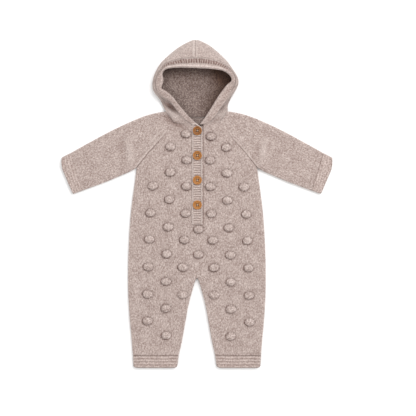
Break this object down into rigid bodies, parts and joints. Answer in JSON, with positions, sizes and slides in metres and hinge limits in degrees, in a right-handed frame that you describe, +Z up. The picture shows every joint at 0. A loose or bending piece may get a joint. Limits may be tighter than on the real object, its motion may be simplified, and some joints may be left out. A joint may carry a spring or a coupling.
{
  "type": "hooded knitted baby romper",
  "caption": "All-in-one knitted baby suit laid flat, with a ribbed hood, raglan sleeves, long legs, raised bobbles and a wooden-button placket.",
  "frame": {"origin": "on the surface that the garment lies on, at the middle of its outline", "axes": "+Z up from the surface, out of the front of the garment; +Y from the legs to the hood; +X to the right as it is looked down on, towards the sleeve on the baby's left"},
  "size_m": [0.5432, 0.656, 0.0284],
  "materials": {
    "knit": "heathered pinkish taupe plain knit, matte, softly fuzzy",
    "rib": "the same yarn in ribs and garter ridges",
    "wood": "honey-coloured turned wood, satin"
  },
  "bodies": {
    "root": {"front": "knit", "back": "knit", "sleeve_right": "knit", "sleeve_left": "knit", "sleeve_cuff_right": "rib", "sleeve_cuff_left": "rib", "leg_cuff_right": "rib", "leg_cuff_left": "rib", "placket_upper": "rib", "placket_under": "rib", "hood_right": "knit", "hood_left": "knit", "hood_band_right": "rib", "hood_band_left": "rib", "button_1": "wood", "button_2": "wood", "button_3": "wood", "button_4": "wood"}
  },
  "joints": []
}
